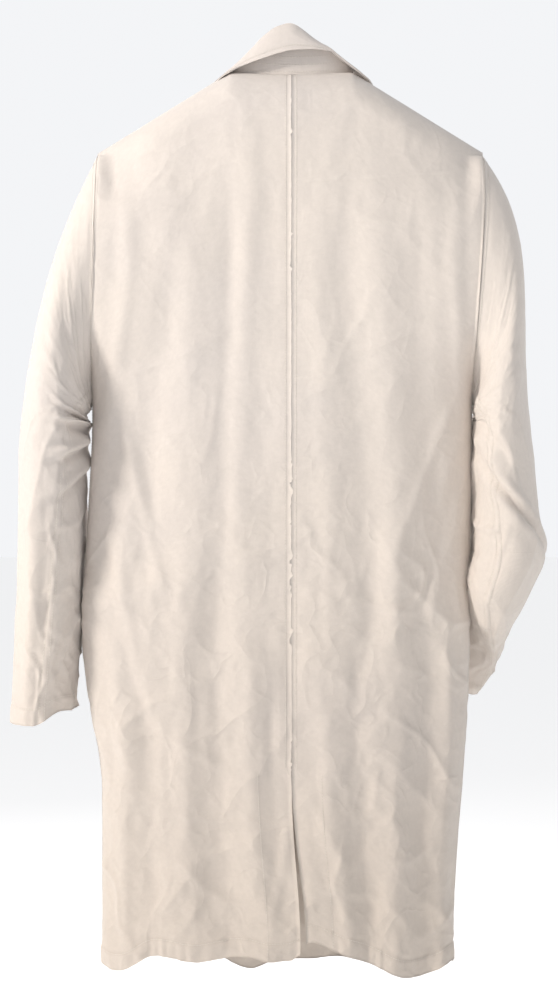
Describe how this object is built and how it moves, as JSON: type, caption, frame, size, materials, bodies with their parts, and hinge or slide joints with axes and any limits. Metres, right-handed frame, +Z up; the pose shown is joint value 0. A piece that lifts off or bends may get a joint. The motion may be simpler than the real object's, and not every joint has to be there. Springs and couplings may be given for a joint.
{
  "type": "lab coat",
  "caption": "Knee-length off-white cotton lab coat with turned-down collar, lapels, pockets, back vent, long sleeves and front buttons.",
  "frame": {"origin": "middle of the neck opening at the height of the back neck seam, where a clothes hanger's hook passes", "axes": "+Z up, -Y towards the coat's front, +X towards the wearer's left"},
  "size_m": [0.6408, 0.2269, 1.1123],
  "materials": {
    "shell": "matte",
    "facing": "matte",
    "tape": "matte",
    "thread": "matte",
    "button": "gloss"
  },
  "bodies": {
    "torso": {"back_left": "shell", "back_right": "shell", "yoke_lining": "facing", "neck_label": "tape", "front_side_left": "shell", "front_side_right": "shell", "front_neck_left": "shell", "front_neck_right": "shell", "collar_stand": "shell", "chest_pocket": "shell", "hip_pocket_left": "shell", "hip_pocket_right": "shell", "slit_facing_left": "facing", "slit_facing_right": "facing"},
    "collar": {"collar_leaf": "shell", "under_collar": "facing"},
    "hanger_loop": {"hanger_loop": "tape"},
    "front_left": {"front_flap_left": "shell", "front_facing_left": "facing"},
    "lapel_left": {"lapel_left": "shell", "collar_end_left": "shell"},
    "vent_left": {"vent_flap_left": "shell", "vent_facing_left": "facing"},
    "sleeve_upper_left": {"sleeve_top_upper_left": "shell", "sleeve_under_upper_left": "shell"},
    "sleeve_lower_left": {"sleeve_top_lower_left": "shell", "sleeve_under_lower_left": "shell", "cuff_hem_left": "facing"},
    "front_right": {"front_flap_right": "shell", "front_facing_right": "facing", "button_shank_1": "thread", "button_shank_2": "thread", "button_shank_3": "thread", "button_shank_4": "thread", "button_shank_5": "thread"},
    "lapel_right": {"lapel_right": "shell", "collar_end_right": "shell"},
    "vent_right": {"vent_flap_right": "shell", "vent_facing_right": "facing"},
    "sleeve_upper_right": {"sleeve_top_upper_right": "shell", "sleeve_under_upper_right": "shell"},
    "sleeve_lower_right": {"sleeve_top_lower_right": "shell", "sleeve_under_lower_right": "shell", "cuff_hem_right": "facing"},
    "button_1": {"button_1": "button"},
    "button_2": {"button_2": "button"},
    "button_3": {"button_3": "button"},
    "button_4": {"button_4": "button"},
    "button_5": {"button_5": "button"}
  },
  "joints": [
    {"name": "collar_turn_up", "type": "hinge", "parent": "torso", "child": "collar", "pos_m": [0, 0.0282, 0.0615], "axis": [1, 0, 0], "range_deg": [0, 150]},
    {"name": "hanger_loop_flip", "type": "hinge", "parent": "torso", "child": "hanger_loop", "pos_m": [0, 0.022, -0.0008], "axis": [-1, 0, 0], "range_deg": [0, 130]},
    {"name": "shoulder_left", "type": "hinge", "parent": "torso", "child": "sleeve_upper_left", "pos_m": [0.2339, -0.006, -0.0896], "axis": [0, -1, 0], "range_deg": [0, 75]},
    {"name": "shoulder_right", "type": "hinge", "parent": "torso", "child": "sleeve_upper_right", "pos_m": [-0.2319, -0.006, -0.0896], "axis": [0, 1, 0], "range_deg": [0, 75]},
    {"name": "elbow_left", "type": "hinge", "parent": "sleeve_upper_left", "child": "sleeve_lower_left", "pos_m": [0.286, -0.0896, -0.4404], "axis": [-1, 0, 0], "range_deg": [0, 95]},
    {"name": "elbow_right", "type": "hinge", "parent": "sleeve_upper_right", "child": "sleeve_lower_right", "pos_m": [-0.22057, -0.05463, -0.5204], "axis": [-0.6832, -0.7302, 0], "range_deg": [-32, 0]},
    {"name": "front_open_left", "type": "hinge", "parent": "torso", "child": "front_left", "pos_m": [0.113, -0.06199, -0.06], "axis": [0.0252, 0.0275, 0.9993], "range_deg": [0, 95]},
    {"name": "lapel_turn_left", "type": "hinge", "parent": "front_left", "child": "lapel_left", "pos_m": [0.0736, -0.06026, -0.06], "axis": [-0.1976, -0.0351, -0.9797], "range_deg": [0, 90]},
    {"name": "vent_open_left", "type": "hinge", "parent": "torso", "child": "vent_left", "pos_m": [0.0003, 0.05542, -0.821], "axis": [0.3647, -0.0027, -0.9311], "range_deg": [0, 20]},
    {"name": "front_open_right", "type": "hinge", "parent": "torso", "child": "front_right", "pos_m": [-0.113, -0.0619, -0.06], "axis": [0.0252, -0.0258, -0.9993], "range_deg": [0, 95]},
    {"name": "lapel_turn_right", "type": "hinge", "parent": "front_right", "child": "lapel_right", "pos_m": [-0.0736, -0.06022, -0.06], "axis": [-0.2759, 0.0346, 0.9606], "range_deg": [0, 90]},
    {"name": "vent_open_right", "type": "hinge", "parent": "torso", "child": "vent_right", "pos_m": [-0.0003, 0.05542, -0.821], "axis": [0.3647, 0.008, 0.9311], "range_deg": [0, 20]},
    {"name": "button_turn_1", "type": "hinge", "parent": "front_right", "child": "button_1", "pos_m": [-0.0126, -0.07265, -0.35], "axis": [0, -1, 0], "range_deg": [-60, 60]},
    {"name": "button_turn_2", "type": "hinge", "parent": "front_right", "child": "button_2", "pos_m": [-0.0099, -0.07625, -0.468], "axis": [0, -1, 0], "range_deg": [-60, 60]},
    {"name": "button_turn_3", "type": "hinge", "parent": "front_right", "child": "button_3", "pos_m": [-0.00721, -0.07985, -0.586], "axis": [0, -1, 0], "range_deg": [-60, 60]},
    {"name": "button_turn_4", "type": "hinge", "parent": "front_right", "child": "button_4", "pos_m": [-0.00451, -0.08345, -0.704], "axis": [0, -1, 0], "range_deg": [-60, 60]},
    {"name": "button_turn_5", "type": "hinge", "parent": "front_right", "child": "button_5", "pos_m": [-0.00181, -0.08705, -0.822], "axis": [0, -1, 0], "range_deg": [-60, 60]}
  ]
}
